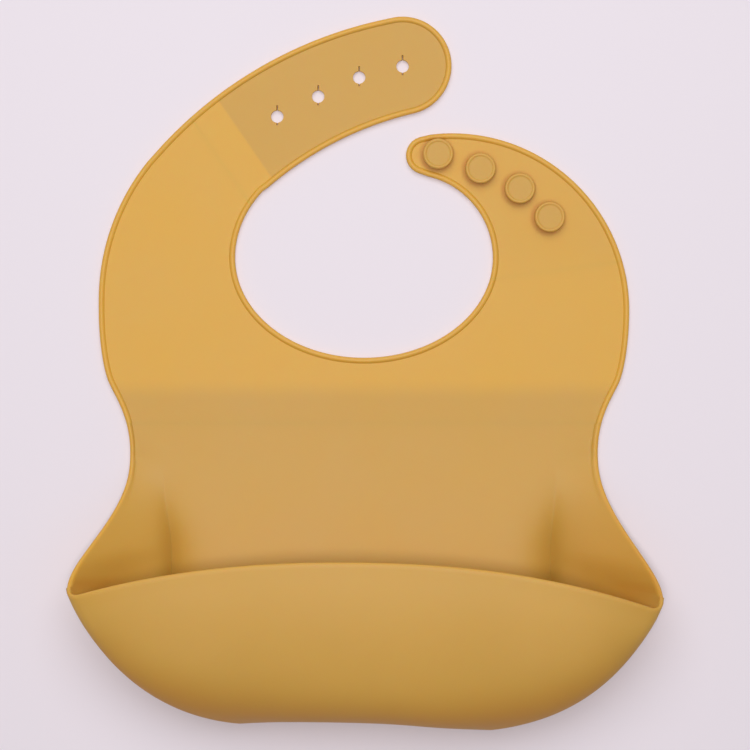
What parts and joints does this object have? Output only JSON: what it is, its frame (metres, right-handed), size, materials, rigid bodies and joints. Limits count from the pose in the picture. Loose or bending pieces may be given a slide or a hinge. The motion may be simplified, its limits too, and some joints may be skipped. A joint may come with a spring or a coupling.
{
  "type": "silicone bib",
  "caption": "Soft silicone feeding bib with a round neck opening, a strap of holes that closes over mushroom buttons, a beaded edge and a deep catch pocket.",
  "frame": {"origin": "on the table under the middle of the bib's outline, at the flat back of the panel", "axes": "+Y towards the neck, +Z out of the front of the bib, +X to the right of a person who looks at the front"},
  "size_m": [0.2396, 0.2916, 0.0469],
  "materials": {
    "panel_silicone": "satin",
    "pocket_silicone": "satin",
    "yoke_silicone": "satin",
    "button_silicone": "satin"
  },
  "bodies": {
    "panel": {"front_panel": "panel_silicone", "left_side_wall": "pocket_silicone", "right_side_wall": "pocket_silicone", "pocket_floor": "pocket_silicone"},
    "pocket_front": {"pocket_front": "pocket_silicone"},
    "yoke": {"neck_yoke": "yoke_silicone"},
    "hole_strap": {"hole_strap": "panel_silicone"},
    "button_strap": {"button_strap": "yoke_silicone", "snap_button_1": "button_silicone", "snap_button_2": "button_silicone", "snap_button_3": "button_silicone", "snap_button_4": "button_silicone"}
  },
  "joints": [
    {"name": "chest_fold", "type": "hinge", "parent": "panel", "child": "yoke", "pos_m": [0, -0.00925, 0.00115], "axis": [1, 0, 0], "range_deg": [-90, 90], "stiffness_Nm_per_rad": 0.005},
    {"name": "hole_strap_bend", "type": "hinge", "parent": "yoke", "child": "hole_strap", "pos_m": [-0.04925, 0.09494, 0.0009], "axis": [0.5681, -0.823, 0], "range_deg": [-100, 100], "stiffness_Nm_per_rad": 0.003},
    {"name": "button_strap_bend", "type": "hinge", "parent": "yoke", "child": "button_strap", "pos_m": [0.07758, 0.05397, 0.00115], "axis": [0.9907, 0.1361, 0], "range_deg": [-100, 100], "stiffness_Nm_per_rad": 0.002},
    {"name": "pocket_open", "type": "hinge", "parent": "panel", "child": "pocket_front", "pos_m": [0, -0.1358, 0.0323], "axis": [1, 0, 0], "range_deg": [0, 20], "stiffness_Nm_per_rad": 0.02}
  ]
}
